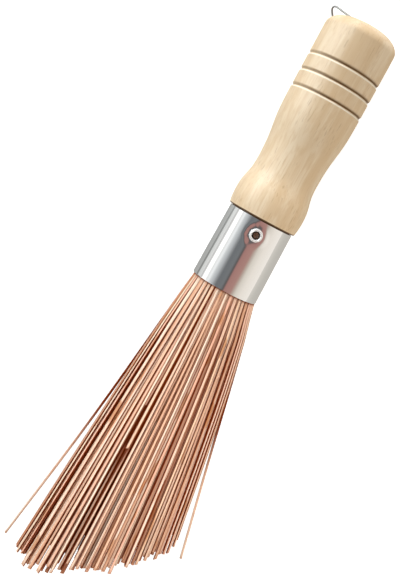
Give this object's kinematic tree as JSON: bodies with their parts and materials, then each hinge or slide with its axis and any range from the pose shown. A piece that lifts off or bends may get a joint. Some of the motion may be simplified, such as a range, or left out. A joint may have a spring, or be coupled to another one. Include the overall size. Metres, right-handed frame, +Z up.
{
  "type": "wok brush",
  "caption": "Wok brush: a turned wooden handle, a riveted rolled steel ferrule, a flared bundle of bamboo splints for scrubbing, and a wire ring that swings for hanging it up.",
  "frame": {"origin": "under the middle of the lying brush, on the surface that it rests on", "axes": "+X along the brush towards the handle's end, +Z up, on the side where the rivet is, +Y to the brush's left seen with the handle up and the rivet in front"},
  "size_m": [0.2776, 0.0762, 0.0552],
  "materials": {
    "handle_wood": "pale turned wood, smooth and barely sealed",
    "ferrule_steel": "bright rolled stainless sheet",
    "rivet_steel": "bright pressed steel",
    "mandrel_steel": "dark broken steel stem",
    "ring_wire": "drawn steel wire",
    "bamboo": "split bamboo, dry and fibrous",
    "glued_bamboo": "split bamboo set in a brown glue bed"
  },
  "bodies": {
    "brush": {"handle": "handle_wood", "ferrule": "ferrule_steel", "rivet_sleeve": "rivet_steel", "rivet_mandrel": "mandrel_steel", "glue_core": "glued_bamboo", "splint_01": "bamboo", "splint_02": "bamboo", "splint_03": "bamboo", "splint_04": "bamboo", "splint_05": "bamboo", "splint_06": "bamboo", "splint_07": "bamboo", "splint_08": "bamboo", "splint_09": "bamboo", "splint_10": "bamboo", "splint_11": "bamboo", "splint_12": "bamboo", "splint_13": "bamboo", "splint_14": "bamboo", "splint_15": "bamboo", "splint_16": "bamboo", "splint_17": "bamboo", "splint_18": "bamboo", "splint_19": "bamboo", "splint_20": "bamboo", "splint_21": "bamboo", "splint_22": "bamboo", "splint_23": "bamboo", "splint_24": "bamboo", "splint_25": "bamboo", "splint_26": "bamboo", "splint_27": "bamboo", "splint_28": "bamboo", "splint_29": "bamboo", "splint_30": "bamboo", "splint_31": "bamboo", "splint_32": "bamboo", "splint_33": "bamboo", "splint_34": "bamboo", "splint_35": "bamboo", "splint_36": "bamboo", "splint_37": "bamboo", "splint_38": "bamboo", "splint_39": "bamboo", "splint_40": "bamboo", "splint_41": "bamboo", "splint_42": "bamboo", "splint_43": "bamboo", "splint_44": "bamboo", "splint_45": "bamboo", "splint_46": "bamboo", "splint_47": "bamboo", "splint_48": "bamboo", "splint_49": "bamboo", "splint_50": "bamboo", "splint_51": "bamboo", "splint_52": "bamboo", "splint_53": "bamboo", "splint_54": "bamboo"},
    "ring": {"hanging_ring": "ring_wire"}
  },
  "joints": [
    {"name": "ring_swing", "type": "hinge", "parent": "brush", "child": "ring", "pos_m": [0.13077, 0.00981, 0.00495], "axis": [-0.7147, 0.3415, -0.6103], "range_deg": [-35, 120]}
  ]
}
